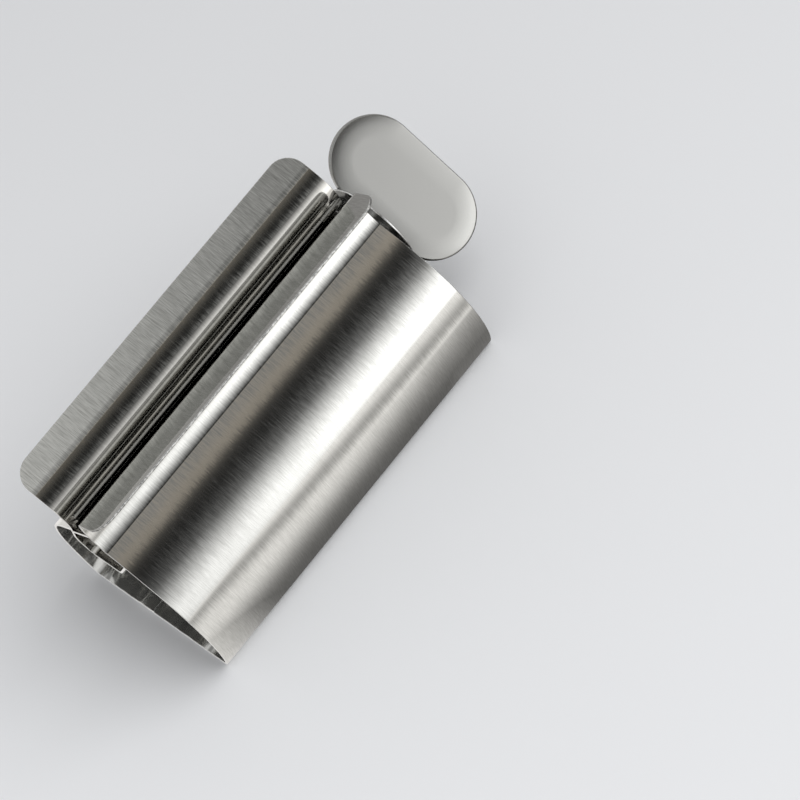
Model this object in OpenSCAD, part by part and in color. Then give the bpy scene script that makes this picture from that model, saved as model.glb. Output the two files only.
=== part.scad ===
// Toothpaste tube squeezer in stainless sheet, in millimetres.
// X runs along the roller toward the key, -Y is the side of the short lip,
// +Y is the side of the wide wing, and the flat base lies on Z = 0.
// The origin is the middle of the base.
// The section is drawn in the YZ plane and pushed along X. Each sheet is a
// strip of equal thickness: straight leaves joined by tangent bends.

/* [Body] */
// Length of the three sheets along the roller
body_len = 70; // [60:1:90]
// Thickness of the sheets
sheet_t = 0.5; // [0.4:0.05:0.8]
// Outside radius of the rolled tube
tube_r = 18.4; // [17.6:0.1:20]
// Height of the tube's axis over the flat base
axis_h = 8.8; // [8:0.1:10]
// Slope of the straight tops, where the tube turns into a teardrop
top_slope = 37; // [34:1:40]
// Bend radius of the two base corners, to the middle of the sheet
corner_r = 1.6; // [1.2:0.1:3]

/* [Base seam] */
// Width of the lap where the two shells cross under the tube
lap_w = 2; // [1:0.1:5]
// Place of the outer layer's edge, to the wing side of the middle
lap_edge = 3.8; // [2:0.1:7]
// Gap between the outer layer's edge and the step beside it
lap_gap = 0.2; // [0.1:0.1:1]
// Length over which the inner layer steps down beside the lap
joggle_len = 3.2; // [1.2:0.1:4]

/* [Slot and lip] */
// Clear width of the slot between the lip's riser and the guide wall
slot_w = 3.6; // [3:0.1:4.2]
// Height of the riser between the straight top and the lip
riser_len = 5.8; // [5.6:0.1:8]
// Slope of the riser, from the level direction
riser_slope = 107; // [100:1:112]
// Length of the lip, from its bend to the free edge
lip_len = 9.2; // [7:0.1:11]
// Slope of the lip over the level
lip_slope = 31; // [20:1:40]
// Bend radius at the foot of the riser
foot_r = 6.8; // [4:0.1:7]
// Bend radius between the riser and the lip
lip_r = 2; // [0.6:0.1:2.6]
// Radius of the free corners of the lip and the wing
free_r = 3.8; // [2:0.1:5]

/* [Guide plate] */
// Slope of the guide wall, from the level direction
wall_slope = 114; // [110:1:118]
// Distance of the guide wall from the roller's axis
wall_off = 5.7; // [5.4:0.1:6.2]
// Height of the fold between wing and wall over the tube's ridge
mouth_rise = 0; // [0:0.1:3]
// Length of the wing, from its sweep to the free edge
wing_len = 6; // [5.6:0.1:12]
// Slope of the wing over the level
wing_slope = 30; // [20:1:34]
// Slope of the sweep that leads from the wing into the bend
sweep_slope = 40; // [36:1:44]
// Radius of the sweep
sweep_r = 19.5; // [8:0.5:20]
// Bend radius between the sweep and the wall
wing_r = 5.5; // [3:0.1:6]
// Bend radius of the cradle under the wall
cradle_r = 3.5; // [2.5:0.1:4]
// Bend radius of the cradle under the front
cradle_front_r = 2; // [1:0.1:3]
// Length of the bridge that closes the slot's near end
bridge_len = 3; // [1:0.5:5]
// Depth of the bridge under the line of the back shell's straight top
bridge_drop = 0.7; // [0.5:0.1:1.2]
// Bend radius at the foot of the weld flange
flange_r = 1.2; // [0.8:0.1:1.6]

/* [Key] */
// Depth of the roller's axis under the tube's ridge
key_drop = 8.9; // [8.2:0.1:9.6]
// Place of the roller's axis, to the wing side of the middle
key_y = 1.3; // [1:0.1:2]
// Radius of the slotted rod
rod_r = 4; // [3:0.1:4.2]
// Width of the slit that takes the end of the tube
slit_w = 1.8; // [1.2:0.1:2.4]
// Solid length of the rod between the slit and the disc
rod_solid = 5; // [3:0.5:10]
// Distance of the rod's free end inside the body's end
rod_recess = 2; // [1:0.5:6]
// Chamfer of the rod's free end
rod_chamfer = 0.5; // [0.2:0.1:1]
// Radius of the disc that closes the key's end of the body
disc_r = 8.6; // [7:0.1:10]
// Thickness of the disc
disc_t = 0.8; // [0.6:0.1:2]
// Length of the thumb plate
plate_len = 28.8; // [24:0.1:36]
// Width of the thumb plate
plate_w = 15.6; // [12:0.1:20]
// Thickness of the thumb plate
plate_t = 1.8; // [1.2:0.1:2.6]
// Width of the rounded border on both faces of the thumb plate
plate_edge = 1.3; // [0.6:0.1:2]
// Thickness that the border leaves at the thumb plate's rim
rim_t = 0.4; // [0.2:0.1:1]
// Turn of the thumb plate at rest, from the level direction
plate_turn = 49; // [0:1:90]

/* [Clearances] */
// Gap between the weld flange's edge and the start of the wing's bend
flange_gap = 0.1; // [0.1:0.05:0.4]
// Gap between the rod and the cradle
rod_gap = 0.35; // [0.2:0.05:0.6]
// Gap between the disc and the end of the body
disc_gap = 0.3; // [0.2:0.05:0.6]

/* [Hidden] */
$fn = 96;

// Largest step of angle in the arcs of the sheets
arc_step = 3;
// Step of angle in the thumb plate's rounded border
edge_step = 10;
// Overshoot of a cutter past the face that it opens
over = 1;
// What a corner cutter's radius has over the corner's, so that it crosses the edges
hair = 0.01;
half_t = sheet_t / 2;
mid_r = tube_r - half_t;
tube_c = [0, axis_h];

// Ridge where the outsides of the straight tops would meet, over the base
ridge_h = axis_h + tube_r / cos(top_slope);
mouth_h = ridge_h + mouth_rise;
key_h = ridge_h - key_drop;
key_c = [key_y, key_h];

// Geometry of the section

// Unit vector at an angle
function unit(a) = [cos(a), sin(a)];

// Point at a distance from another, along an angle
function along(p, a, d) = p + d * unit(a);

// Crossing of the line through p at angle a with the line through q at b
function meet(p, a, q, b) = along(p, a, cross(q - p, unit(b)) / cross(unit(a), unit(b)));

// Corner bend: a small arc inside the tube's circle that also rests on the base
corner_c = [sqrt(pow(mid_r - corner_r, 2) - pow(axis_h - half_t - corner_r, 2)), half_t + corner_r];
corner_a = atan2(corner_c[1] - axis_h, corner_c[0]);

// Where the straight tops leave the circle
top_start = tube_c + mid_r * unit(90 - top_slope);
top_dir = 180 - top_slope;

// Guide wall: a point on it level with the roller, and its crossings
wall_p = along(key_c, wall_slope - 90, wall_off);
fold_v = [meet(wall_p, wall_slope, [0, mouth_h], 0)[0], mouth_h];
sweep_len = bend_cut(wing_r, wall_slope - sweep_slope) + bend_cut(sweep_r, sweep_slope - wing_slope);
sweep_v = along(fold_v, sweep_slope, sweep_len);
cradle_h = key_h - rod_r - rod_gap - half_t;
cradle_v = meet(wall_p, wall_slope, [0, cradle_h], 0);

// Cradle's front leaf: square to the front's straight top, clear of the rod
leaf_dir = 90 + top_slope;
leaf_p = along(key_c, leaf_dir + 90, rod_r + rod_gap + half_t);
leaf_v = meet(leaf_p, leaf_dir, [0, cradle_h], 0);
front_start = [-top_start[0], top_start[1]];
leaf_end = meet(leaf_p, leaf_dir, along(front_start, top_slope - 90, half_t), top_slope);

// Foot of the riser, set by the clear width of the slot
foot_off = wall_off - slot_w - sheet_t;
riser_v = meet(front_start, top_slope, along(key_c, wall_slope - 90, foot_off), wall_slope);
lip_v = along(riser_v, riser_slope, riser_len);
lip_dir = 180 - lip_slope;

// Weld flange of the back shell: it runs one sheet behind the wall, from the line
// of the straight top to just under the wing's bend
flange_v = meet(top_start, top_dir, along(wall_p, wall_slope - 90, sheet_t), wall_slope);
wall_top = along(fold_v, wall_slope, -bend_cut(wing_r, wall_slope - sweep_slope));
flange_end = along(along(wall_top, wall_slope - 90, sheet_t), wall_slope, -flange_gap);

// Bridge over the slot's near end: from the wall to the round underside of the
// riser's foot, where its end lies square to the foot's radius
foot_start = along(riser_v, top_slope, -bend_cut(foot_r, riser_slope - top_slope));
foot_c = along(foot_start, top_slope + 90, foot_r);
bridge_p = along(top_start, top_dir + 90, bridge_drop);
bridge_start = meet(wall_p, wall_slope, bridge_p, top_dir);
foot_ahead = (foot_c - bridge_p) * unit(top_dir);
foot_aside = cross(unit(top_dir), foot_c - bridge_p);
bridge_run = foot_ahead - sqrt(pow(foot_r + half_t, 2) - pow(foot_aside, 2));
bridge_end = along(bridge_p, top_dir, bridge_run);
bridge_a = atan2(foot_c[1] - bridge_end[1], foot_c[0] - bridge_end[0]);

// Angle of a joggle of two equal bends that steps by one sheet
joggle_a = 2 * atan(sheet_t / joggle_len);
joggle_r = joggle_len / (2 * sin(joggle_a));

// Strips of sheet. A strip follows a path of stations, each a point on the
// middle of the sheet and the angle in which the strip runs there.

// Length that a bend of radius r takes from each leaf at a vertex
function bend_cut(r, turn) = r * tan(abs(turn) / 2);

// Stations of an arc about c, from angle a to angle b
function arc(c, r, a, b) =
    let (n = ceil(abs(b - a) / arc_step), side = b > a ? 90 : -90)
    [for (i = [0:n]) let (t = a + (b - a) * i / n) [along(c, t, r), t + side]];

// Stations of the bend at vertex v, where the strip turns from angle a to b
function bend(v, r, a, b) =
    let (side = b > a ? 90 : -90, c = along(along(v, a, -bend_cut(r, b - a)), a + side, r))
    arc(c, r, a - side, b - side);

// One edge of a strip, at a distance to the left of its path
function edge(path, d) = [for (s = path) along(s[0], s[1] + 90, d)];

// Section of a strip, pushed along the body from its near end
module sheet(path, len = body_len) {
    other = edge(path, -half_t);
    translate([-body_len / 2, 0, 0])
        rotate([90, 0, 90])
            linear_extrude(len)
                polygon(concat(edge(path, half_t), [for (i = [len(other) - 1:-1:0]) other[i]]));
}

// Cutter for the two free corners of a flange that ends at p, along angle a
module free_corners(p, a) {
    translate([0, p[0], p[1]])
        rotate([a, 0, 0])
            for (side = [0, 1])
                mirror([side, 0, 0])
                    translate([body_len / 2 - free_r, -free_r, -over])
                        linear_extrude(2 * over)
                            difference() {
                                square(free_r + over);
                                circle(free_r + hair);
                            }
}

// Front half of the tube: base, corner, arc, straight top, riser and lip
module front_shell() {
    corner = [-corner_c[0], corner_c[1]];
    lip_end = along(lip_v, lip_dir, lip_len);
    color("gainsboro")
        difference() {
            sheet(concat(
                [[[lap_edge, half_t], 180]],
                arc(corner, corner_r, 270, 180 - corner_a),
                arc(tube_c, mid_r, 180 - corner_a, 90 + top_slope),
                bend(riser_v, foot_r, top_slope, riser_slope),
                bend(lip_v, lip_r, riser_slope, lip_dir),
                [[lip_end, lip_dir]]
            ));
            free_corners(lip_end, lip_dir);
        }
}

// Back half of the tube: joggled lap, corner, arc, straight top, weld flange
module back_shell() {
    lap_z = sheet_t + half_t;
    step_y = lap_edge + lap_gap;
    color("silver")
        sheet(concat(
            [[[lap_edge - lap_w, lap_z], 0]],
            arc([step_y, lap_z - joggle_r], joggle_r, 90, 90 - joggle_a),
            arc([step_y + joggle_len, half_t + joggle_r], joggle_r, 270 - joggle_a, 270),
            arc(corner_c, corner_r, -90, corner_a),
            arc(tube_c, mid_r, corner_a, 90 - top_slope),
            bend(flange_v, flange_r, top_dir, wall_slope),
            [[flange_end, wall_slope]]
        ));
}

// One sheet from the wing's free edge down the wall and round the cradle, and
// the bridge, whose end lies against the underside of the riser's foot
module guide_plate() {
    down = wall_slope + 180;
    wing_end = along(sweep_v, wing_slope, wing_len);
    color("lightgray") {
        difference() {
            sheet(concat(
                [[wing_end, wing_slope + 180]],
                bend(sweep_v, sweep_r, wing_slope + 180, sweep_slope + 180),
                bend(fold_v, wing_r, sweep_slope + 180, down),
                bend(cradle_v, cradle_r, down, 180),
                bend(leaf_v, cradle_front_r, 180, leaf_dir),
                [[leaf_end, leaf_dir]]
            ));
            free_corners(wing_end, wing_slope);
        }
        sheet([[bridge_start, top_dir], [bridge_end, bridge_a]], bridge_len);
    }
}

// Places a piece of the key: its Z along the roller's axis, its X along the
// thumb plate's length, at a distance x beyond the end of the body
module on_key(x) {
    translate([body_len / 2 + x, key_y, key_h])
        rotate([90, 0, 90])
            rotate(plate_turn)
                children();
}

// Roller rod with the slit that grips the end of the tube
module key_rod() {
    rod_len = body_len - rod_recess + disc_gap;
    slit_len = rod_len - rod_solid;
    color("darkgray")
        on_key(disc_gap - rod_len)
            difference() {
                union() {
                    cylinder(r1 = rod_r - rod_chamfer, r2 = rod_r, h = rod_chamfer);
                    translate([0, 0, rod_chamfer])
                        cylinder(r = rod_r, h = rod_len - rod_chamfer);
                }
                translate([-rod_r - over, -slit_w / 2, -over])
                    cube([2 * (rod_r + over), slit_w, slit_len + over]);
            }
}

// Disc that closes the end of the body, with a full round rim
module key_disc() {
    color("silver")
        on_key(disc_gap)
            rotate_extrude()
                union() {
                    square([disc_r - disc_t / 2, disc_t]);
                    translate([disc_r - disc_t / 2, disc_t / 2])
                        intersection() {
                            circle(disc_t / 2);
                            translate([0, -disc_t / 2])
                                square([disc_t / 2, disc_t]);
                        }
                }
}

// Half of the thumb plate's cross-section, its border rounded as quarter ellipses
module plate_profile() {
    depth = (plate_t - rim_t) / 2;
    border = [for (a = [0:edge_step:90])
        [plate_w / 2 - plate_edge * (1 - sin(a)), plate_t / 2 - depth * (1 - cos(a))]];
    back = [for (i = [len(border) - 1:-1:0]) [border[i][0], -border[i][1]]];
    polygon(concat([[0, plate_t / 2]], border, back, [[0, -plate_t / 2]]));
}

// Thumb plate: a bar between two revolved half rounds, welded to the disc
module key_plate() {
    bar = plate_len - plate_w;
    color("lightgray")
        on_key(disc_gap + disc_t + plate_w / 2)
            rotate([90, 0, 0]) {
                for (side = [0, 180])
                    rotate([0, 0, side])
                        translate([bar / 2, 0, 0])
                            rotate([0, 0, -90])
                                rotate_extrude(angle = 180)
                                    plate_profile();
                for (side = [0, 180])
                    rotate([side, 0, 0])
                        translate([-bar / 2, 0, 0])
                            rotate([90, 0, 90])
                                linear_extrude(bar)
                                    plate_profile();
            }
}

front_shell();
back_shell();
guide_plate();
key_rod();
key_disc();
key_plate();
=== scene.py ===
"""Toothpaste tube squeezer in brushed stainless sheet.

Three folded sheets make the open tube, the slot and the cradle under it. A slotted
rod with a disc and a thumb plate lies in the cradle and winds up the tube's end.
All lengths are in metres, X runs along the rod and the base lies on Z = 0.
"""

import math

import bmesh
import bpy
from mathutils import Matrix, Vector


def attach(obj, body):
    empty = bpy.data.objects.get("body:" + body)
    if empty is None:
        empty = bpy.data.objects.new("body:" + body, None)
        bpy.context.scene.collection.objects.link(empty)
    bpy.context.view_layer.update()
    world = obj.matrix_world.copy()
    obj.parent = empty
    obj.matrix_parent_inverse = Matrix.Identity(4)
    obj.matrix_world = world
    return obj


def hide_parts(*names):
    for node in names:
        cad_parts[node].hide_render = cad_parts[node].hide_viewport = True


bl_info = {
    "name": "Toothpaste Tube Squeezer",
    "version": (1, 0, 0),
    "blender": (4, 5, 0),
    "location": "3D View > Sidebar > Squeezer",
    "description": "Builds a tube squeezer of brushed sheet, its key and a plain stage",
    "category": "Object",
}

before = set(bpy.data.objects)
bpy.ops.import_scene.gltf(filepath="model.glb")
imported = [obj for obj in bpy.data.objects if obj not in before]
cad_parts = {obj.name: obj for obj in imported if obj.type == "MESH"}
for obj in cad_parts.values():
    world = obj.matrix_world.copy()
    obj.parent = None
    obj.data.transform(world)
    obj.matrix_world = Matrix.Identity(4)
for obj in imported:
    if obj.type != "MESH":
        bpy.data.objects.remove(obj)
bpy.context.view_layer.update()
MM = 0.001
TOUCH = 0.001 * MM
RIGHT_ANGLE = math.radians(90)
ALONG_ROD = Vector((1, 0, 0))

# A bend's arc is divided by turn, or by length where that gives more steps.
ARC_STEP = math.radians(1.5)
ARC_CHORD = 0.5 * MM

# Length of the crowned part of the front shell's straight top.
BOW_LEN = 8 * MM


# Sizes and colours


def length(name, description, default):
    """A length in millimetres, kept in metres."""
    return bpy.props.FloatProperty(
        name=name, description=description, default=default * MM, min=0, precision=4, unit="LENGTH"
    )


def angle(name, description, default):
    """An angle in degrees, kept in radians."""
    return bpy.props.FloatProperty(
        name=name, description=description, default=math.radians(default), subtype="ANGLE"
    )


def colour(name, description, default):
    """A linear colour."""
    return bpy.props.FloatVectorProperty(
        name=name, description=description, default=default, size=3, min=0, max=1, subtype="COLOR"
    )


class TubeSizes(bpy.types.PropertyGroup):
    """The teardrop tube that the two shells make"""

    body_len: length("Body length", "Length of the sheets along the rod", 70)
    sheet_t: length("Sheet", "Thickness of the sheets", 0.5)
    tube_r: length("Tube radius", "Outside radius of the rolled tube", 18.4)
    axis_h: length("Axis height", "Height of the tube's axis over the base", 8.8)
    corner_r: length("Corner radius", "Bend radius of the two base corners", 1.6)
    top_slope: angle("Top slope", "Slope of the straight tops", 37)
    lap_w: length("Lap", "Width of the lap where the shells cross under the tube", 2)
    lap_edge: length("Lap place", "Place of the outer layer's edge", 3.8)
    lap_gap: length("Lap gap", "Gap between the outer layer's edge and the step", 0.2)
    joggle_len: length("Joggle", "Length of the step beside the lap", 3.2)
    bow: angle("Flank bow", "Turn by which the front's straight top is faintly crowned", 5.5)


class SlotSizes(bpy.types.PropertyGroup):
    """The slot with its riser, lip, wall and wing"""

    slot_w: length("Slot", "Clear width of the slot", 3.6)
    riser_len: length("Riser", "Height of the riser between the straight top and the lip", 5.8)
    riser_slope: angle("Riser slope", "Slope of the riser", 107)
    foot_r: length("Riser foot", "Radius that places the start of the riser's foot", 6.8)
    foot_late: length("Foot start", "Distance by which the foot starts late", 0.7)
    lead_r: length("Foot lead", "Radius with which the foot starts", 1.2)
    lead_turn: angle("Lead turn", "Turn of the foot's start", 3.4)
    lip_len: length("Lip", "Length of the lip", 9.2)
    lip_slope: angle("Lip slope", "Slope of the lip", 31)
    lip_r: length("Lip bend", "Bend radius between riser and lip", 3.2)
    curl_len: length("Curl", "Width of the lip's faint curl along its free edge", 1.4)
    curl_turn: angle("Curl turn", "Turn of the lip's faint curl", 3)
    free_r: length("Free corners", "Radius of the free corners of lip and wing", 3.8)
    wall_slope: angle("Wall slope", "Slope of the guide wall", 114)
    wall_off: length("Wall offset", "Distance of the wall from the rod's axis", 5.7)
    mouth_rise: length("Mouth", "Height of the wing's fold over the tube's ridge", 0)
    wing_len: length("Wing", "Length of the wing from its sweep's vertex to the free edge", 6)
    wing_slope: angle("Wing slope", "Slope of the wing", 30)
    sweep_slope: angle("Sweep slope", "Slope of the line from the fold to the sweep's vertex", 40)
    sweep_r: length("Sweep", "Radius that places the sweep's vertex", 19.5)
    wing_flat: length("Wing flat", "Straight part of the wing from its free edge", 4.2)
    dip_r: length("Wing dip", "Radius with which the wing starts its sweep", 10.8)
    dip_turn: angle("Dip turn", "Turn of the wing's dip", 5.3)
    kink_r: length("Wing kink", "Radius of the tight turn after the dip", 1.5)
    kink_turn: angle("Kink turn", "Turn of the tight turn", 1.6)
    roll_r: length("Wing roll", "Radius with which the sweep goes on", 80)
    roll_turn: angle("Roll turn", "Turn of the roll", 0.9)
    ease_r: length("Wing ease", "Radius between the roll and the bend", 26)
    ease_turn: angle("Ease turn", "Turn between the roll and the bend", 2.9)
    wing_r: length("Wing bend", "Radius that places the wing over the wall", 5.5)
    cradle_r: length("Cradle back", "Bend radius of the cradle under the wall", 3.5)
    cradle_front_r: length("Cradle front", "Bend radius of the cradle under the front", 2)
    bridge_len: length("Bridge", "Length of the bridge at the slot's near end", 0.6)
    bridge_drop: length("Bridge drop", "Depth of the bridge under the straight top's line", 0.7)
    flange_gap: length("Weld flange", "Gap between the flange's edge and the wing's bend", 0.1)
    flange_r: length("Flange bend", "Bend radius at the foot of the flange", 1.2)
    rim: length("Rim", "Width of the eased rim round every sheet", 0.12)
    sheared_from: length("Sheared rim", "Depth under the riser's foot where it starts", 2)
    # The darker wall finish, which paints shade in the slot, reaches this height over the wing's
    # fold.
    painted_shade_rise: length("Wall finish", "Height over the wing's fold that it reaches", 2.6)


class KeySizes(bpy.types.PropertyGroup):
    """The slotted rod, its disc and its thumb plate"""

    key_drop: length("Axis depth", "Depth of the rod's axis under the tube's ridge", 8.9)
    key_y: length("Axis place", "Place of the rod's axis toward the wing", 1.3)
    rod_r: length("Rod", "Radius of the rod", 4)
    rod_gap: length("Rod gap", "Gap between the rod and the cradle", 0.35)
    slit_w: length("Slit", "Width of the slit that takes the tube's end", 1.8)
    rod_solid: length("Rod shank", "Solid length of the rod beside the disc", 5)
    rod_recess: length("Rod recess", "Distance of the rod's free end inside the body", 2)
    rod_ease: length("Rod edges", "Rounding of the rod's edges", 0.25)
    disc_gap: length("Disc gap", "Gap between the disc and the body's end", 0.8)
    disc_r: length("Disc", "Radius of the disc", 8.6)
    disc_t: length("Disc sheet", "Thickness of the disc", 0.3)
    disc_ease: length("Disc rim", "Rounding of the disc's two edges", 0.12)
    plate_len: length("Plate length", "Length of the thumb plate", 28.8)
    plate_w: length("Plate width", "Width of the thumb plate", 15.6)
    plate_t: length("Plate sheet", "Thickness of the thumb plate", 1.8)
    plate_edge: length("Plate border", "Width of the plate's sloped border", 2.4)
    plate_drop: length("Border drop", "Depth by which the sloped border falls", 0.3)
    plate_soft: length("Border round", "Rounding between the plate's face and its border", 1.6)
    plate_rim: length("Rim round", "Rounding between the border and the rim", 0.35)
    plate_turn: angle("Plate turn", "Turn of the thumb plate at rest", 49)


class SteelColours(bpy.types.PropertyGroup):
    """Colours of the steel finishes and of the stage"""

    shell: colour("Shell", "Brushed steel of the two shells", (0.69, 0.69, 0.648))
    guide: colour("Guide", "Brushed steel of the wing", (0.68, 0.685, 0.635))
    # The wall colour is darker and warmer than the wing's steel: painted shade with a painted warm
    # reflection tint, down in the slot on the wall, the cradle and the wing's bend.
    wall: colour("Wall", "Steel of the wall, the cradle and the wing's bend", (0.57, 0.56, 0.53))
    # The inside colour is darker than the shell's steel: painted shade inside the tube.
    inside: colour("Inside", "Smooth steel inside the tube", (0.6, 0.6, 0.58))
    rim: colour("Rims", "Cut edges of the sheets", (0.92, 0.92, 0.90))
    sheared: colour("Lip edge", "Sheared free edge of the lip", (0.42, 0.42, 0.41))
    rod: colour("Rod", "Turned steel of the rod", (0.58, 0.58, 0.57))
    # The disc's colour is painted darker than its steel: painted shade for the dark wedge between
    # the body's far end and the disc.
    disc: colour("Disc", "Steel of the disc", (0.36, 0.36, 0.35))
    plate: colour("Plate", "Blasted steel of the thumb plate", (0.43, 0.43, 0.415))
    floor: colour("Floor", "Pale floor", (0.855, 0.865, 0.885))


# The folded section


def unit(a):
    """Unit vector at an angle from Y toward Z."""
    return Vector((0, math.cos(a), math.sin(a)))


def meet(p, a, q, b):
    """Crossing of the line through p at angle a with the line through q at b."""
    gap = q - p
    u, v = unit(a), unit(b)
    return p + u * ((gap.y * v.z - gap.z * v.y) / (u.y * v.z - u.z * v.y))


def bend_cut(radius, turn):
    """Length that a bend takes from each leg at its vertex."""
    return radius * math.tan(abs(turn) / 2)


class Section:
    """The points and angles of the sheets' middle lines, worked out from the sizes.

    A name with _v is the vertex of a bend and one with _c the centre of a round.
    """

    def __init__(self, tube, slot, key):
        half = tube.sheet_t / 2
        self.half = half

        # The rolled tube, its ridge and its base corners
        self.mid_r = tube.tube_r - half
        self.tube_c = Vector((0, 0, tube.axis_h))
        ridge = tube.axis_h + tube.tube_r / math.cos(tube.top_slope)
        self.key_c = Vector((0, key.key_y, ridge - key.key_drop))
        rise = tube.axis_h - half - tube.corner_r
        self.corner_y = math.sqrt((self.mid_r - tube.corner_r) ** 2 - rise**2)
        self.corner_a = math.atan2(-rise, self.corner_y)

        # The two straight tops, from where they leave the tube
        self.top_start = self.tube_c + unit(RIGHT_ANGLE - tube.top_slope) * self.mid_r
        self.top_dir = math.pi - tube.top_slope
        self.front_start = Vector((0, -self.top_start.y, self.top_start.z))

        # The guide wall beside the rod, the wing's fold over it and the wing's sweep
        off_wall = unit(slot.wall_slope - RIGHT_ANGLE)
        self.wall_p = self.key_c + off_wall * slot.wall_off
        mouth = Vector((0, 0, ridge + slot.mouth_rise))
        self.fold_v = meet(self.wall_p, slot.wall_slope, mouth, 0)
        fold_cut = bend_cut(slot.wing_r, slot.wall_slope - slot.sweep_slope)
        sweep = fold_cut + bend_cut(slot.sweep_r, slot.sweep_slope - slot.wing_slope)
        self.sweep_v = self.fold_v + unit(slot.sweep_slope) * sweep

        # The cradle's floor and the leaf on its front, which ends under the front top
        reach = key.rod_r + key.rod_gap + half
        low = Vector((0, 0, self.key_c.z - reach))
        self.cradle_v = meet(self.wall_p, slot.wall_slope, low, 0)
        self.leaf_dir = RIGHT_ANGLE + tube.top_slope
        leaf_p = self.key_c + unit(self.leaf_dir + RIGHT_ANGLE) * reach
        self.leaf_v = meet(leaf_p, self.leaf_dir, low, 0)
        under = self.front_start + unit(tube.top_slope - RIGHT_ANGLE) * half
        self.leaf_end = meet(leaf_p, self.leaf_dir, under, tube.top_slope)

        # The riser on the other side of the slot and the lip on it
        foot = self.key_c + off_wall * (slot.wall_off - slot.slot_w - tube.sheet_t)
        self.riser_v = meet(self.front_start, tube.top_slope, foot, slot.wall_slope)
        self.lip_v = self.riser_v + unit(slot.riser_slope) * slot.riser_len

        # The weld flange on the wall's back
        self.flange_v = meet(
            self.top_start, self.top_dir, self.wall_p + off_wall * tube.sheet_t, slot.wall_slope
        )
        wall_top = self.fold_v - unit(slot.wall_slope) * (fold_cut + slot.flange_gap)
        self.flange_end = wall_top + off_wall * tube.sheet_t

        # The bridge from the wall to the bend at the riser's foot
        cut = bend_cut(slot.foot_r, slot.riser_slope - tube.top_slope)
        foot_c = self.riser_v - unit(tube.top_slope) * cut
        foot_c += unit(tube.top_slope + RIGHT_ANGLE) * slot.foot_r
        bridge_p = self.top_start + unit(self.top_dir + RIGHT_ANGLE) * slot.bridge_drop
        self.bridge_start = meet(self.wall_p, slot.wall_slope, bridge_p, self.top_dir)
        away = foot_c - self.bridge_start
        ahead = away.dot(unit(self.top_dir))
        aside = away.dot(unit(self.top_dir + RIGHT_ANGLE))
        self.bridge_run = ahead - math.sqrt((slot.foot_r + half) ** 2 - aside**2)


def bevel(bm, geom, width, segments, affect):
    """Rounds vertices or edges."""
    bmesh.ops.bevel(
        bm,
        geom=geom,
        offset=width,
        offset_type="OFFSET",
        segments=segments,
        profile=0.5,
        affect=affect,
        material=-1,
    )


class Fold:
    """A strip of sheet that is folded leg by leg, as on a press brake.

    It runs at right angles to the rod, and near and far are its two sides along X.
    """

    corner_steps = 12

    def __init__(self, bm, near, far, start, heading):
        self.bm = bm
        self.at = start.copy()
        self.heading = heading
        ends = [bm.verts.new((x, start.y, start.z)) for x in (near, far)]
        self.edge = bm.edges.new(ends)

    def leg(self, distance):
        """Runs straight on."""
        if distance < TOUCH:
            return
        made = bmesh.ops.extrude_edge_only(self.bm, edges=[self.edge])["geom"]
        verts = [g for g in made if isinstance(g, bmesh.types.BMVert)]
        step = unit(self.heading) * distance
        bmesh.ops.translate(self.bm, verts=verts, vec=step)
        self.edge = self.bm.edges.get(verts)
        self.at += step

    def turn(self, radius, angle):
        """Runs round an arc."""
        side = math.copysign(RIGHT_ANGLE, angle)
        centre = self.at + unit(self.heading + side) * radius
        steps = abs(angle) * max(1 / ARC_STEP, radius / ARC_CHORD)
        last = bmesh.ops.spin(
            self.bm,
            geom=[*self.edge.verts, self.edge],
            cent=centre,
            axis=ALONG_ROD,
            angle=angle,
            steps=max(2, math.ceil(steps)),
        )["geom_last"]
        self.edge = next(g for g in last if isinstance(g, bmesh.types.BMEdge))
        self.heading += angle
        self.at = centre + unit(self.heading - side) * radius

    def bend(self, vertex, radius, heading):
        """Runs to a vertex and bends there to a new heading."""
        turn = heading - self.heading
        self.leg((vertex - self.at).length - bend_cut(radius, turn))
        self.turn(radius, turn)

    def turn_onto(self, point, heading):
        """Bends at once, so that the strip then runs along the line through a point."""
        turn = heading - self.heading
        vertex = meet(self.at, self.heading, point, heading)
        self.turn((vertex - self.at).length / math.tan(abs(turn) / 2), turn)

    def round_end(self, radius):
        """Rounds the two free corners at the strip's present end."""
        bevel(self.bm, list(self.edge.verts), radius, self.corner_steps, "VERTICES")


def face_away(bm, centre):
    """Turns a strip's faces so that, taken together, they look away from a point."""
    bmesh.ops.recalc_face_normals(bm, faces=bm.faces)
    bm.normal_update()
    out = sum(f.normal.dot(f.calc_center_median() - centre) for f in bm.faces)
    if out < 0:
        bmesh.ops.reverse_faces(bm, faces=bm.faces)


# Finishes


class Value:
    """A number that varies over a surface. Python's operators add its Math nodes."""

    def __init__(self, shader, socket):
        self.shader = shader
        self.socket = socket

    def _math(self, operation, *args):
        made = self.shader.node("ShaderNodeMath", {"operation": operation}, dict(enumerate(args)))
        return Value(self.shader, made.outputs[0])

    def __add__(self, other):
        return self._math("ADD", self, other)

    def __radd__(self, other):
        return self._math("ADD", other, self)

    def __sub__(self, other):
        return self._math("SUBTRACT", self, other)

    def __rsub__(self, other):
        return self._math("SUBTRACT", other, self)

    def __mul__(self, other):
        return self._math("MULTIPLY", self, other)

    def __rmul__(self, other):
        return self._math("MULTIPLY", other, self)

    def __truediv__(self, other):
        return self._math("DIVIDE", self, other)

    def __pow__(self, other):
        return self._math("POWER", self, other)

    def __abs__(self):
        return self._math("ABSOLUTE", self)

    def at_least(self, other):
        """The larger of this value and another."""
        return self._math("MAXIMUM", self, other)

    def clamp(self):
        """This value kept between 0 and 1."""
        made = self.shader.node("ShaderNodeClamp", {}, {"Value": self})
        return Value(self.shader, made.outputs[0])


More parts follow.
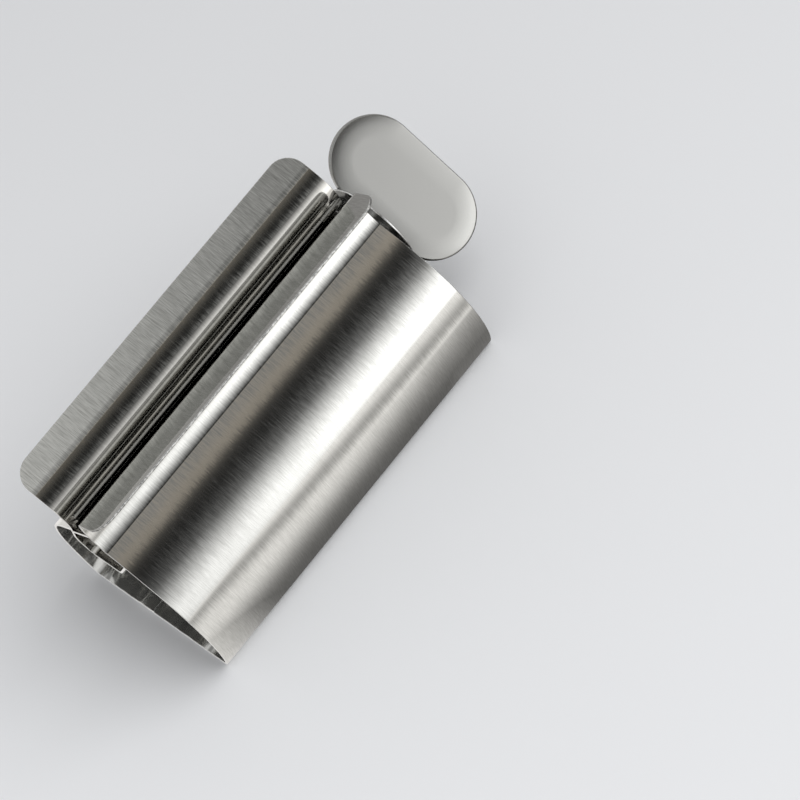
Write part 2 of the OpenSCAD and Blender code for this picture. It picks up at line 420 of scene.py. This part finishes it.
class Shader:
    """The node tree of one material or of the world."""

    def __init__(self, tree):
        self.tree = tree
        tree.nodes.clear()

    def node(self, kind, settings=None, inputs=None):
        """Adds a node: its settings first, then the values or links of its sockets."""
        made = self.tree.nodes.new(kind)
        for key, value in (settings or {}).items():
            if key == "stops":
                self._stops(made.color_ramp, value)
            else:
                setattr(made, key, value)
        for key, value in (inputs or {}).items():
            socket = made.inputs[key]
            if isinstance(value, Value):
                self.tree.links.new(value.socket, socket)
            elif isinstance(value, bpy.types.NodeSocket):
                self.tree.links.new(value, socket)
            else:
                socket.default_value = value
        return made

    @staticmethod
    def _stops(ramp, stops):
        while len(ramp.elements) < len(stops):
            ramp.elements.new(1.0)
        for element, (position, shade) in zip(ramp.elements, stops):
            element.position = position
            if isinstance(shade, (int, float)):
                shade = (shade, shade, shade)
            element.color = (*shade, 1)

    def value(self, node, output=0):
        return Value(self, node.outputs[output])

    def noise(self, vector, detail=2, roughness=0.5):
        made = self.node(
            "ShaderNodeTexNoise",
            {"noise_dimensions": "3D"},
            {"Vector": vector, "Scale": 1.0, "Detail": detail, "Roughness": roughness},
        )
        return self.value(made)

    def scaled(self, per_x, per_y, per_z):
        """Object coordinates, with so many cells to the metre along each axis."""
        where = self.node("ShaderNodeTexCoord").outputs["Object"]
        mapped = self.node(
            "ShaderNodeMapping", {}, {"Vector": where, "Scale": (per_x, per_y, per_z)}
        )
        return mapped.outputs["Vector"]

    def tilted_normal(self, tilt):
        """The surface's normal, turned about the rod's direction by a small amount."""
        normal = self.node("ShaderNodeNewGeometry").outputs["Normal"]
        across = self.vector("CROSS_PRODUCT", tuple(ALONG_ROD), normal)
        total = self.vector("ADD", normal, self.dimmed(across, tilt))
        return self.vector("NORMALIZE", total)

    def vector(self, operation, *args):
        """The result of Vector Math on vectors or colours."""
        made = self.node("ShaderNodeVectorMath", {"operation": operation}, dict(enumerate(args)))
        return made.outputs[0]

    def dimmed(self, vector, amount):
        """A vector or a colour times a number."""
        sockets = {0: vector, "Scale": amount}
        return self.node("ShaderNodeVectorMath", {"operation": "SCALE"}, sockets).outputs[0]

    def bumped(self, height, strength, distance):
        """The surface's normal, bent by a height."""
        sockets = {"Strength": strength, "Distance": distance, "Height": height}
        return self.node("ShaderNodeBump", {}, sockets).outputs[0]

    def mirrored_only(self, plain, mirrored):
        """One surface or light that glossy rays see and one for all other rays."""
        ray = self.node("ShaderNodeLightPath").outputs["Is Glossy Ray"]
        return self.node("ShaderNodeMixShader", {}, {0: ray, 1: plain, 2: mirrored}).outputs[0]

    def shaded(self, shade, amount):
        """A colour times a number between a half and one and a half."""
        dark = tuple(c * 0.5 for c in shade)
        light = tuple(min(c * 1.5, 1.0) for c in shade)
        mixed = self.node(
            "ShaderNodeMix",
            {"data_type": "RGBA"},
            {"Factor": (amount - 0.5).clamp(), 6: (*dark, 1), 7: (*light, 1)},
        )
        return mixed.outputs[2]

    def steel(self, **sockets):
        """The metal surface that ends every finish."""
        named = {key.replace("_", " ").title(): value for key, value in sockets.items()}
        metal = self.node("ShaderNodeBsdfPrincipled", {}, {"Metallic": 1.0, **named})
        self.node("ShaderNodeOutputMaterial", {}, {"Surface": metal.outputs[0]})


def new_finish(name):
    """A new material and its empty node tree."""
    finish = bpy.data.materials.new(name)
    finish.use_nodes = True
    return finish, Shader(finish.node_tree)


def brushed(name, shade, roughness=0.10, tilt=0.04, contrast=0.3):
    """Sheet brushed across the rod's direction: fine streaks in broad ones, and clouds."""
    finish, s = new_finish(name)
    fine = s.noise(s.scaled(5200, 380, 380), detail=2, roughness=0.6)
    broad = s.noise(s.scaled(1500, 150, 150), detail=3, roughness=0.6)
    cloud = s.noise(s.scaled(240, 60, 60), detail=2)
    streak = fine * 0.85 + broad * 0.15
    amount = 1 + (streak - 0.5) * (contrast * 2) + (cloud - 0.5) * 0.2
    s.steel(
        base_color=s.shaded(shade, amount),
        roughness=roughness + (streak - 0.5) * 0.12,
        normal=s.tilted_normal((streak - 0.5) * tilt),
    )
    return finish


def polished(name, shade):
    """Smooth inside of the tube, with the waves that folding leaves."""
    finish, s = new_finish(name)
    wave = s.noise(s.scaled(48, 160, 160), detail=1)
    s.steel(
        base_color=s.shaded(shade, 1 + (wave - 0.5) * 0.8),
        roughness=0.12,
        metallic=0.85,
        normal=s.bumped(wave, strength=1.0, distance=4.6 * MM),
    )
    return finish


def cut_edge(name, shade, roughness=0.2, burr_mix=0.2):
    """Cut and eased rim with fine burrs, which burr_mix makes darker and lighter."""
    finish, s = new_finish(name)
    burr = s.noise(s.scaled(2400, 2400, 2400), detail=2, roughness=0.6)
    s.steel(
        base_color=s.shaded(shade, 1 + (burr - 0.5) * burr_mix),
        roughness=roughness + burr * 0.12,
        normal=s.bumped(burr, strength=0.35, distance=0.06 * MM),
    )
    return finish


def turned(name, shade):
    """Turned finish, with fine rings where the surface runs along the rod."""
    finish, s = new_finish(name)
    ring = s.noise(s.scaled(4000, 60, 60), detail=3)
    s.steel(
        base_color=s.shaded(shade, 1 + (ring - 0.5) * 0.2),
        roughness=0.22 + (ring - 0.5) * 0.12,
        normal=s.tilted_normal((ring - 0.5) * 0.06),
    )
    return finish


def blasted(name, shade):
    """Matte finish with a very fine even grain."""
    finish, s = new_finish(name)
    grain = s.noise(s.scaled(9000, 9000, 9000), detail=2, roughness=0.7)
    cloud = s.noise(s.scaled(180, 180, 180), detail=3)
    s.steel(
        base_color=s.shaded(shade, 1 + (grain - 0.5) * 0.12 + (cloud - 0.5) * 0.06),
        roughness=0.24 + (cloud - 0.5) * 0.08,
        normal=s.bumped(grain, strength=0.12, distance=0.04 * MM),
    )
    return finish


# Pieces


def finished(bm, name, node, body, finishes):
    """Makes the mesh an object that stands for a node and moves with its body."""
    for face in bm.faces:
        face.smooth = True
    mesh = bpy.data.meshes.new(name)
    bm.to_mesh(mesh)
    bm.free()
    for finish in finishes:
        mesh.materials.append(finish)
    piece = bpy.data.objects.new(name, mesh)
    bpy.context.collection.objects.link(piece)
    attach(piece, body)
    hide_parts(node)
    return piece


def give_thickness(piece, thickness, rim):
    """Thickness about the sheet's middle, with a finish each for its back and its rim."""
    wall = piece.modifiers.new("Sheet", "SOLIDIFY")
    wall.thickness = thickness
    wall.offset = 0
    wall.use_even_offset = True
    wall.material_offset = 1
    wall.material_offset_rim = 2
    ease(piece, rim)


def ease(piece, rim):
    """Rounds the sharp edges."""
    edge = piece.modifiers.new("Rim", "BEVEL")
    edge.width = rim
    edge.segments = 2
    edge.limit_method = "ANGLE"
    edge.angle_limit = math.radians(40)
    even_normals(piece)


def even_normals(piece):
    """Lets the large faces lead the shading of the small ones."""
    level = piece.modifiers.new("Even normals", "WEIGHTED_NORMAL")
    level.mode = "FACE_AREA"
    level.weight = 100


def section(scene):
    """The section that the scene's sizes give."""
    return Section(scene.squeezer_tube, scene.squeezer_slot, scene.squeezer_key)


def sheet_settings(context):
    """The sizes, the colours and the section for a sheet."""
    scene = context.scene
    return scene.squeezer_tube, scene.squeezer_slot, scene.squeezer_colours, section(scene)


def key_settings(context):
    """The sizes, the colours and the section for a piece of the key."""
    scene = context.scene
    return scene.squeezer_tube, scene.squeezer_key, scene.squeezer_colours, section(scene)


# A sheet's finishes come in threes, for its front, its back and its rim. Faces with
# this material number have the second three.
SECOND_THREE = 3


class AddFrontShell(bpy.types.Operator):
    """Adds the front shell: base, corner, arc, straight top, riser and lip"""

    bl_idname = "squeezer.front_shell"
    bl_label = "Front shell"

    def execute(self, context):
        tube, slot, shades, sec = sheet_settings(context)
        bm = bmesh.new()
        reach = tube.body_len / 2
        strip = Fold(bm, -reach, reach, Vector((0, tube.lap_edge, sec.half)), math.pi)
        # Base, corner and rolled arc, which runs on into the crowned flank
        strip.leg(tube.lap_edge + sec.corner_y)
        low = math.pi - sec.corner_a
        strip.turn(tube.corner_r, low - 3 * RIGHT_ANGLE)
        strip.turn(sec.mid_r, RIGHT_ANGLE + tube.top_slope + tube.bow / 2 - low)
        strip.turn(BOW_LEN / tube.bow, -tube.bow)
        # The riser's foot starts late and tight, and the riser and the lip follow
        vertex = meet(strip.at, strip.heading, sec.riser_v, slot.riser_slope)
        foot_cut = bend_cut(slot.foot_r, slot.riser_slope - strip.heading)
        strip.leg((vertex - strip.at).length - foot_cut)
        strip.leg(slot.foot_late)
        strip.turn(slot.lead_r, slot.lead_turn)
        strip.turn_onto(sec.riser_v, slot.riser_slope)
        strip.bend(sec.lip_v, slot.lip_r, math.pi - slot.lip_slope)
        strip.leg(slot.lip_len - bend_cut(slot.lip_r, strip.heading - slot.riser_slope))
        strip.round_end(slot.free_r)
        self.curl_lip(bm, strip, sec, slot)
        face_away(bm, sec.tube_c)
        outside = brushed("brushed_front", shades.shell)
        # The inside of the tube takes the darker inside colour, which is painted shade.
        inside = polished("polished_front_painted_shade", shades.inside)
        rim = cut_edge("front_rim", shades.rim)
        sheared = cut_edge("lip_rim", shades.sheared, roughness=0.25, burr_mix=3.0)
        for face in bm.faces:
            if face.calc_center_median().z > sec.riser_v.z - slot.sheared_from:
                face.material_index = SECOND_THREE
        finishes = (outside, inside, rim, outside, outside, sheared)
        piece = finished(bm, "front_sheet", "front_shell", "body", finishes)
        give_thickness(piece, tube.sheet_t, slot.rim)
        return {"FINISHED"}

    def curl_lip(self, bm, strip, sec, slot):
        """Turns a narrow border along the lip's free edge a little outward."""
        along = unit(strip.heading)
        hinge = strip.at - along * slot.curl_len
        lip_start = sec.lip_v + along * bend_cut(slot.lip_r, strip.heading - slot.riser_slope)
        lip = [f for f in bm.faces if f.calc_center_median().z > lip_start.z]
        parts = {g for f in lip for g in (f, *f.edges, *f.verts)}
        bmesh.ops.bisect_plane(bm, geom=list(parts), plane_co=hinge, plane_no=along)
        high = [v for v in bm.verts if v.co.z > hinge.z]
        border = [v for v in high if (v.co - hinge).dot(along) > TOUCH]
        turn = Matrix.Rotation(slot.curl_turn, 3, "X")
        bmesh.ops.rotate(bm, verts=border, cent=hinge, matrix=turn)


class AddBackShell(bpy.types.Operator):
    """Adds the back shell: joggled lap, corner, arc, straight top and weld flange"""

    bl_idname = "squeezer.back_shell"
    bl_label = "Back shell"

    def execute(self, context):
        tube, slot, shades, sec = sheet_settings(context)
        bm = bmesh.new()
        reach = tube.body_len / 2
        start = Vector((0, tube.lap_edge - tube.lap_w, tube.sheet_t + sec.half))
        strip = Fold(bm, -reach, reach, start, 0.0)
        # The lap, a step down of one thickness, and the rest of the base
        strip.leg(tube.lap_w + tube.lap_gap)
        step = 2 * math.atan(tube.sheet_t / tube.joggle_len)
        radius = tube.joggle_len / (2 * math.sin(step))
        strip.turn(radius, -step)
        strip.turn(radius, step)
        strip.leg(sec.corner_y - strip.at.y)
        # Corner, rolled arc, straight top and the flange behind the wall
        strip.turn(tube.corner_r, sec.corner_a + RIGHT_ANGLE)
        strip.turn(sec.mid_r, RIGHT_ANGLE - tube.top_slope - sec.corner_a)
        strip.bend(sec.flange_v, slot.flange_r, slot.wall_slope)
        strip.leg((sec.flange_end - strip.at).length)
        face_away(bm, sec.tube_c)
        outside = brushed("brushed_back", shades.shell)
        # The inside of the tube takes the darker inside colour, which is painted shade.
        inside = polished("polished_back_painted_shade", shades.inside)
        finishes = (outside, inside, cut_edge("back_rim", shades.rim))
        piece = finished(bm, "back_sheet", "back_shell", "body", finishes)
        give_thickness(piece, tube.sheet_t, slot.rim)
        return {"FINISHED"}


class AddGuidePlate(bpy.types.Operator):
    """Adds the guide plate: wing, wall, cradle and the bridge at the slot's near end"""

    bl_idname = "squeezer.guide_plate"
    bl_label = "Guide plate"

    def execute(self, context):
        tube, slot, shades, sec = sheet_settings(context)
        bm = bmesh.new()
        reach = tube.body_len / 2
        start = sec.sweep_v + unit(slot.wing_slope) * slot.wing_len
        strip = Fold(bm, -reach, reach, start, slot.wing_slope + math.pi)
        free = strip.edge
        # The wing from its free edge, by tangent arcs, to the wall
        strip.leg(slot.wing_flat)
        strip.turn(slot.dip_r, slot.dip_turn)
        strip.turn(slot.kink_r, slot.kink_turn)
        strip.turn(slot.roll_r, slot.roll_turn)
        strip.turn(slot.ease_r, slot.ease_turn)
        strip.turn_onto(sec.wall_p, slot.wall_slope + math.pi)
        # Down the wall, under the rod and up the cradle's front leaf
        strip.bend(sec.cradle_v, slot.cradle_r, math.pi)
        strip.bend(sec.leaf_v, slot.cradle_front_r, sec.leaf_dir)
        strip.leg((sec.leaf_end - strip.at).length)
        strip.edge = free
        strip.round_end(slot.free_r)
        bridge = Fold(bm, -reach, slot.bridge_len - reach, sec.bridge_start, sec.top_dir)
        bridge.leg(sec.bridge_run)
        bmesh.ops.recalc_face_normals(bm, faces=bm.faces)
        wing = brushed("brushed_wing", shades.guide, contrast=0.8)
        # The wall finish is painted darker and warmer, as shade down in the slot.
        wall = brushed("brushed_wall_painted_shade", shades.wall, roughness=0.08, tilt=0.015, contrast=0.2)
        rim = cut_edge("guide_rim", shades.rim)
        # Faces under this height take the darkened wall finish: painted shade down the slot, in
        # the cradle and on the wing's bend.
        for face in bm.faces:
            if face.calc_center_median().z < sec.fold_v.z + slot.painted_shade_rise:
                face.material_index = SECOND_THREE
        finishes = (wing, wing, rim, wall, wall, rim)
        piece = finished(bm, "guide_sheet", "guide_plate", "body", finishes)
        give_thickness(piece, tube.sheet_t, slot.rim)
        return {"FINISHED"}


def key_place(tube, key, sec, x):
    """Z along the rod's axis and X along the thumb plate's length, x beyond the body."""
    place = Matrix.Translation((tube.body_len / 2 + x, sec.key_c.y, sec.key_c.z))
    turn = Matrix.Rotation(RIGHT_ANGLE, 4, "Z") @ Matrix.Rotation(RIGHT_ANGLE, 4, "X")
    return place @ turn @ Matrix.Rotation(key.plate_turn, 4, "Z")


def push(bm, faces, distance):
    """Pushes faces out along Z."""
    made = bmesh.ops.extrude_face_region(bm, geom=faces)["geom"]
    verts = [g for g in made if isinstance(g, bmesh.types.BMVert)]
    bmesh.ops.translate(bm, verts=verts, vec=(0, 0, distance))


class AddKeyRod(bpy.types.Operator):
    """Adds the rod: a solid shank and two half-round prongs beside the slit"""

    bl_idname = "squeezer.key_rod"
    bl_label = "Key rod"
    round_steps = 96

    def execute(self, context):
        tube, key, shades, sec = key_settings(context)
        rod_len = tube.body_len - key.rod_recess + key.disc_gap
        slit_len = rod_len - key.rod_solid
        bm = bmesh.new()
        self.round_face(bm, key)
        push(bm, list(bm.faces), key.rod_solid)
        for side in (1, -1):
            self.prong(bm, key, side, slit_len)
        bmesh.ops.recalc_face_normals(bm, faces=bm.faces)
        place = key_place(tube, key, sec, key.disc_gap - key.rod_solid)
        bmesh.ops.transform(bm, matrix=place, verts=bm.verts)
        finish = turned("turned_rod", shades.rod)
        piece = finished(bm, "slotted_rod", "key_rod", "key", [finish])
        ease(piece, key.rod_ease)
        return {"FINISHED"}

    def round_face(self, bm, key):
        bmesh.ops.create_circle(bm, cap_ends=True, segments=self.round_steps, radius=key.rod_r)

    def prong(self, bm, key, side, slit_len):
        """Adds what the slit leaves of the rod on one side."""
        prong = bmesh.new()
        self.round_face(prong, key)
        bmesh.ops.bisect_plane(
            prong,
            geom=[*prong.verts, *prong.edges, *prong.faces],
            plane_co=(0, side * key.slit_w / 2, 0),
            plane_no=(0, side, 0),
            clear_inner=True,
        )
        push(prong, list(prong.faces), -slit_len)
        bmesh.ops.recalc_face_normals(prong, faces=prong.faces)
        part = bpy.data.meshes.new("prong")
        prong.to_mesh(part)
        prong.free()
        bm.from_mesh(part)
        bpy.data.meshes.remove(part)


class AddKeyDisc(bpy.types.Operator):
    """Adds the disc with its eased rim"""

    bl_idname = "squeezer.key_disc"
    bl_label = "Key disc"

    def execute(self, context):
        tube, key, shades, sec = key_settings(context)
        bm = bmesh.new()
        # The disc's section, from the axis out to the rim and back, is spun round
        corners = [(0, 0), (key.disc_r, 0), (key.disc_r, key.disc_t), (0, key.disc_t)]
        verts = [bm.verts.new((x, 0, z)) for x, z in corners]
        for start, end in zip(verts, verts[1:]):
            bm.edges.new((start, end))
        bevel(bm, verts[1:3], key.disc_ease, 4, "VERTICES")
        bmesh.ops.spin(
            bm,
            geom=[*bm.verts, *bm.edges],
            cent=(0, 0, 0),
            axis=(0, 0, 1),
            angle=math.tau,
            steps=128,
            use_merge=True,
        )
        bmesh.ops.remove_doubles(bm, verts=bm.verts, dist=TOUCH)
        bmesh.ops.recalc_face_normals(bm, faces=bm.faces)
        # The disc's faces take the darkened disc colour, which is painted shade.
        face = turned("faced_disc_painted_shade", shades.disc)
        rim = cut_edge("disc_rim", shades.rim, roughness=0.15, burr_mix=1.5)
        flat_r = key.disc_r - 2 * key.disc_ease
        for part in bm.faces:
            part.material_index = int(part.calc_center_median().xy.length > flat_r)
        bmesh.ops.transform(bm, matrix=key_place(tube, key, sec, key.disc_gap), verts=bm.verts)
        piece = finished(bm, "end_disc", "key_disc", "key", [face, rim])
        even_normals(piece)
        return {"FINISHED"}


class AddThumbPlate(bpy.types.Operator):
    """Adds the oval thumb plate with its soft border"""

    bl_idname = "squeezer.thumb_plate"
    bl_label = "Thumb plate"

    def execute(self, context):
        tube, key, shades, sec = key_settings(context)
        bm = bmesh.new()
        bar = (key.plate_len - key.plate_w) / 2
        radius = key.plate_w / 2
        # The border is cut at 45 degrees on a taller plate, which is then squashed
        squash = key.plate_drop / key.plate_edge
        tall = key.plate_t / squash
        # The outline is two straight sides and two half rounds
        corner = bm.verts.new((-bar, -radius, -tall / 2))
        for side in (1, -1):
            far = bmesh.ops.extrude_vert_indiv(bm, verts=[corner])["verts"]
            bmesh.ops.translate(bm, verts=far, vec=(2 * bar * side, 0, 0))
            last = bmesh.ops.spin(
                bm,
                geom=far,
                cent=(bar * side, 0, -tall / 2),
                axis=(0, 0, 1),
                angle=math.pi,
                steps=48,
            )["geom_last"]
            corner = next(g for g in last if isinstance(g, bmesh.types.BMVert))
        bmesh.ops.remove_doubles(bm, verts=bm.verts, dist=TOUCH)
        bmesh.ops.edgeloop_fill(bm, edges=bm.edges)
        push(bm, list(bm.faces), tall)
        bmesh.ops.recalc_face_normals(bm, faces=bm.faces)
        self.round_rings(bm, tall / 2, key.plate_edge, segments=1)
        self.round_rings(bm, tall / 2, key.plate_soft, segments=10)
        bmesh.ops.scale(bm, vec=(1, 1, squash), verts=bm.verts)
        self.round_rings(bm, key.plate_t / 2 - key.plate_drop, key.plate_rim, segments=6)
        place = key_place(tube, key, sec, key.disc_gap + key.disc_t + radius)
        upright = Matrix.Rotation(RIGHT_ANGLE, 4, "X")
        bmesh.ops.transform(bm, matrix=place @ upright, verts=bm.verts)
        bmesh.ops.recalc_face_normals(bm, faces=bm.faces)
        finish = blasted("blasted_plate", shades.plate)
        finished(bm, "oval_plate", "key_plate", "key", [finish])
        return {"FINISHED"}

    def round_rings(self, bm, height, width, segments):
        """Bevels the two level rings of edges at a height over and under the middle."""
        rings = [e for e in bm.edges if all(abs(abs(v.co.z) - height) < TOUCH for v in e.verts)]
        rings = [e for e in rings if e.verts[0].co.z * e.verts[1].co.z > 0]
        bevel(bm, rings, width, segments, "EDGES")


# Stage

# Tint of the surround's one warm strip.
WARM = (1.0, 0.90, 0.77)

# Brightness of the studio's soft surround by height round the rod's direction, in
# degrees from the wing's side over the top to the lip's side.
SURROUND = (
    (0, 0.5),
    (20, 0.5),
    (30, 0.9),
    (42, 0.9),
    (54, 0.33),
    (80, 0.33),
    (92, 0.75),
    (104, 0.72),
    (108, 0.58),
    (111, 0.42),
    (114, 0.31),
    (117, 0.26),
    (121, 0.27),
    (122, 0.37, WARM),
    (124.4, 0.38, WARM),
    (125.5, 0.04),
    (127, 0.02),
    (129.4, 0.02),
    (130.5, 0.045),
    (131.6, 0.085),
    (132.5, 0.145),
    (135.8, 0.247),
    (139.9, 0.40),
    (143.9, 0.57),
    (148, 0.78),
    (152.1, 0.99),
    (156.2, 1.19),
    (160.3, 1.38),
    (165, 1.55),
    (175, 1.55),
    (180, 1.30),
)
SURROUND_PEAK = 2.0

# What matte surfaces and the camera see of the surround.
PLAIN_LIGHT = (0.60, 0.60, 0.60, 1)

# How each height of the surround changes along the rod: above 0.5 it grows brighter
# toward the key, at 0.5 it keeps even and below 0.5 it grows darker.
LEAN = (
    (100, 0.5),
    (108, 0),
    (117, 0),
    (121, 0.55),
    (129, 0.6),
    (131.5, 0.9),
    (180, 0.9),
)

# The change takes place over this span of a direction's X, by this share.
LEAN_FROM = 0.094
LEAN_SPAN = 0.12
LEAN_SHARE = 1.4

# Brightness of the floor as the steel sees it, by distance in millimetres from the
# line under the tube: dark in the contact shadow, then the studio's pool of light.
FLOOR_POOL = (
    (16.5, 0.13),
    (18.7, 0.16),
    (20, 0.19),
    (21.7, 0.25),
    (23.9, 0.36),
    (26.9, 0.54),
    (28.8, 0.64),
    (31, 0.75),
    (34, 0.85),
    (37, 0.92),
    (41, 0.97),
    (47, 0.96),
    (55, 0.77),
    (66, 0.56),
    (85, 0.50),
    (120, 0.66),
    (160, 0.82),
    (218, 0.97),
    (400, 1.10),
)
POOL_REACH = 400
POOL_TINT = (1.02, 1.0, 0.98)

# A mirrored ray moves on along the rod by this share of its way out from the flank,
# whose place is in millimetres.
FLANK_AT = 17
RAY_DRIFT = 0.15

# From this distance on the pool is wider toward the near end and narrower toward the
# key, by a share per metre of the place where the mirrored ray left the tube.
SPREAD_FROM = 40
SPREAD = 20
SPREAD_REACH = 35

# Toward the key the contact shadow is wider: between these two distances the floor
# counts as closer to the tube, and the more so over this span along the rod.
SHADOW_FROM = 21
SHADOW_TO = 40
SHADOW_FADE = 10
SHADOW_SPAN = 60

# Some light comes in under the tube: at the near end the floor counts as further out
# by its way past the end, and under the key's half as at least this far out.
NEAR_LIGHT = 2
KEY_LIGHT = 20
KEY_LIGHT_SPAN = 27

# The floor beyond the wing is dimmer, and the more so toward the key.
FAR_FROM = 60
FAR_SPAN = 60
FAR_DIM = 0.4
FAR_KEY_DIM = 0.33
FAR_KEY_FROM = 30
FAR_KEY_SPAN = 45

# The floor's colour carries a painted falloff of the studio light: it grows darker toward the key
# and the wing's side.
PAINTED_FALLOFF_X = 0.6
PAINTED_FALLOFF_Y = 0.4
PAINTED_FALLOFF_FROM = -100
PAINTED_FALLOFF_SPAN = 200
PAINTED_FALLOFF_DEPTH = 0.2


def rise(value, start, span):
    """Rises from 0 to 1 over a span from a start, both in millimetres."""
    return ((value - start * MM) / (span * MM)).clamp()


class AddStage(bpy.types.Operator):
    """Adds the pale floor, the soft surround, the lamp and the camera"""

    bl_idname = "squeezer.stage"
    bl_label = "Stage"

    def execute(self, context):
        shades = context.scene.squeezer_colours
        self.floor(context, shades)
        self.surround(context.scene)
        self.lamp(context)
        self.camera(context.scene)
        return {"FINISHED"}

    def floor(self, context, shades):
        bm = bmesh.new()
        bmesh.ops.create_grid(bm, x_segments=1, y_segments=1, size=3.0)
        mesh = bpy.data.meshes.new("floor")
        bm.to_mesh(mesh)
        bm.free()
        floor = bpy.data.objects.new("floor", mesh)
        context.collection.objects.link(floor)
        finish, s = new_finish("pale_floor")
        where = s.node("ShaderNodeTexCoord").outputs["Object"]
        parts = s.node("ShaderNodeSeparateXYZ", {}, {0: where})
        x, y = s.value(parts, "X"), s.value(parts, "Y")
        # The floor's colour is painted darker away from the light, as a painted falloff of the
        # studio light.
        painted_falloff = 1 - rise(x * PAINTED_FALLOFF_X + y * PAINTED_FALLOFF_Y, PAINTED_FALLOFF_FROM, PAINTED_FALLOFF_SPAN) * PAINTED_FALLOFF_DEPTH
        paint = s.node(
            "ShaderNodeBsdfPrincipled",
            {},
            {"Base Color": s.dimmed(tuple(shades.floor), painted_falloff), "Roughness": 0.75},
        )
        glow = s.node("ShaderNodeEmission", {}, {"Color": self.pool(s, x, y), "Strength": 1.0})
        both = s.mirrored_only(paint.outputs[0], glow.outputs[0])
        s.node("ShaderNodeOutputMaterial", {}, {"Surface": both})
        mesh.materials.append(finish)

    def pool(self, s, x, y):
        """The floor's brightness as the steel mirrors it."""
        side = abs(y)
        reach = SPREAD_REACH * MM
        start = x - (side - FLANK_AT * MM) * RAY_DRIFT
        start = rise(start, -SPREAD_REACH, 2 * SPREAD_REACH) * (2 * reach) - reach
        side = side + (side - SPREAD_FROM * MM).at_least(0) * start * SPREAD
        drawn = (1 - rise(side, SHADOW_TO, SHADOW_FADE)) * rise(x, 0, SHADOW_SPAN)
        side = side - (side - SHADOW_FROM * MM).at_least(0) * drawn
        side = side.at_least(-NEAR_LIGHT * MM - x)
        side = side.at_least(rise(x, 0, KEY_LIGHT_SPAN) * (KEY_LIGHT * MM))
        place = (side.at_least(0) / (POOL_REACH * MM)) ** 0.5
        stops = []
        for distance, level in FLOOR_POOL:
            stops.append(((distance / POOL_REACH) ** 0.5, tuple(level * c for c in POOL_TINT)))
        light = s.node("ShaderNodeValToRGB", {"stops": stops}, {0: place})
        dim = FAR_DIM + rise(x, FAR_KEY_FROM, FAR_KEY_SPAN) * FAR_KEY_DIM
        return s.dimmed(light.outputs[0], 1 - rise(y, FAR_FROM, FAR_SPAN) * dim)

    def surround(self, scene):
        world = bpy.data.worlds.new("soft_surround")
        world.use_nodes = True
        scene.world = world
        s = Shader(world.node_tree)
        direction = s.node("ShaderNodeTexCoord").outputs["Generated"]
        parts = s.node("ShaderNodeSeparateXYZ", {}, {0: direction})
        x, y, z = (s.value(parts, axis) for axis in "XYZ")
        turn = s.value(s.node("ShaderNodeMath", {"operation": "ARCTAN2"}, {0: abs(z), 1: y}))
        height = turn / math.pi
        stops = []
        for degrees, level, *tint in SURROUND:
            tint = tint[0] if tint else (1, 1, 1)
            stops.append((degrees / 180, tuple(level * c / SURROUND_PEAK for c in tint)))
        ramp = s.node("ShaderNodeValToRGB", {"stops": stops}, {0: height})
        stops = [(degrees / 180, share) for degrees, share in LEAN]
        lean = s.value(s.node("ShaderNodeValToRGB", {"stops": stops}, {0: height})) - 0.5
        along = ((x - LEAN_FROM) / LEAN_SPAN).clamp() - 0.5
        shade = s.dimmed(ramp.outputs[0], 1 + lean * along * LEAN_SHARE)
        sockets = {"Color": shade, "Strength": SURROUND_PEAK}
        lit = s.node("ShaderNodeBackground", {}, sockets)
        plain = s.node("ShaderNodeBackground", {}, {"Color": PLAIN_LIGHT, "Strength": 1.0})
        both = s.mirrored_only(plain.outputs[0], lit.outputs[0])
        s.node("ShaderNodeOutputWorld", {}, {"Surface": both})

    def lamp(self, context):
        """A wide soft lamp over the lip's side that only lights matte surfaces."""
        data = bpy.data.lights.new("soft_lamp", "AREA")
        data.shape = "DISK"
        data.size = 1.1
        data.energy = 7.2
        lamp = bpy.data.objects.new("soft_lamp", data)
        context.collection.objects.link(lamp)
        lamp.location = (0.5, -0.5, 0.85)
        lamp.rotation_euler = (-lamp.location).to_track_quat("-Z", "Y").to_euler()
        lamp.visible_glossy = False

    def camera(self, scene):
        """Looks down on the near end and the lip's side."""
        data = bpy.data.cameras.new("camera")
        data.sensor_width = 36
        data.lens = 166.5
        data.clip_start = 0.01
        camera = bpy.data.objects.new("camera", data)
        scene.collection.objects.link(camera)
        right = Vector((0.6219, -0.6995, -0.3521)).normalized()
        forward = Vector((0.1815, 0.5662, -0.8041)).normalized()
        up = right.cross(forward).normalized()
        right = forward.cross(up).normalized()
        place = Matrix((right, up, -forward)).transposed().to_4x4()
        place.translation = (-0.09443, -0.36064, 0.49900)
        camera.matrix_world = place
        scene.camera = camera


class SqueezerPanel(bpy.types.Panel):
    """Lists the pieces in the order in which they are added"""

    bl_idname = "VIEW3D_PT_squeezer"
    bl_label = "Tube squeezer"
    bl_space_type = "VIEW_3D"
    bl_region_type = "UI"
    bl_category = "Squeezer"

    def draw(self, context):
        for step in PIECES:
            self.layout.operator(step.bl_idname)


PIECES = (
    AddFrontShell,
    AddBackShell,
    AddGuidePlate,
    AddKeyRod,
    AddKeyDisc,
    AddThumbPlate,
    AddStage,
)
GROUPS = {
    "squeezer_tube": TubeSizes,
    "squeezer_slot": SlotSizes,
    "squeezer_key": KeySizes,
    "squeezer_colours": SteelColours,
}


def register():
    for cls in (*GROUPS.values(), *PIECES, SqueezerPanel):
        bpy.utils.register_class(cls)
    for name, group in GROUPS.items():
        setattr(bpy.types.Scene, name, bpy.props.PointerProperty(type=group))


def unregister():
    for name in GROUPS:
        delattr(bpy.types.Scene, name)
    for cls in reversed((*GROUPS.values(), *PIECES, SqueezerPanel)):
        bpy.utils.unregister_class(cls)


def main():
    register()
    for step in PIECES:
        group, name = step.bl_idname.split(".")
        getattr(getattr(bpy.ops, group), name)()
    bpy.context.scene.view_settings.view_transform = "Standard"


if __name__ == "__main__":
    main()
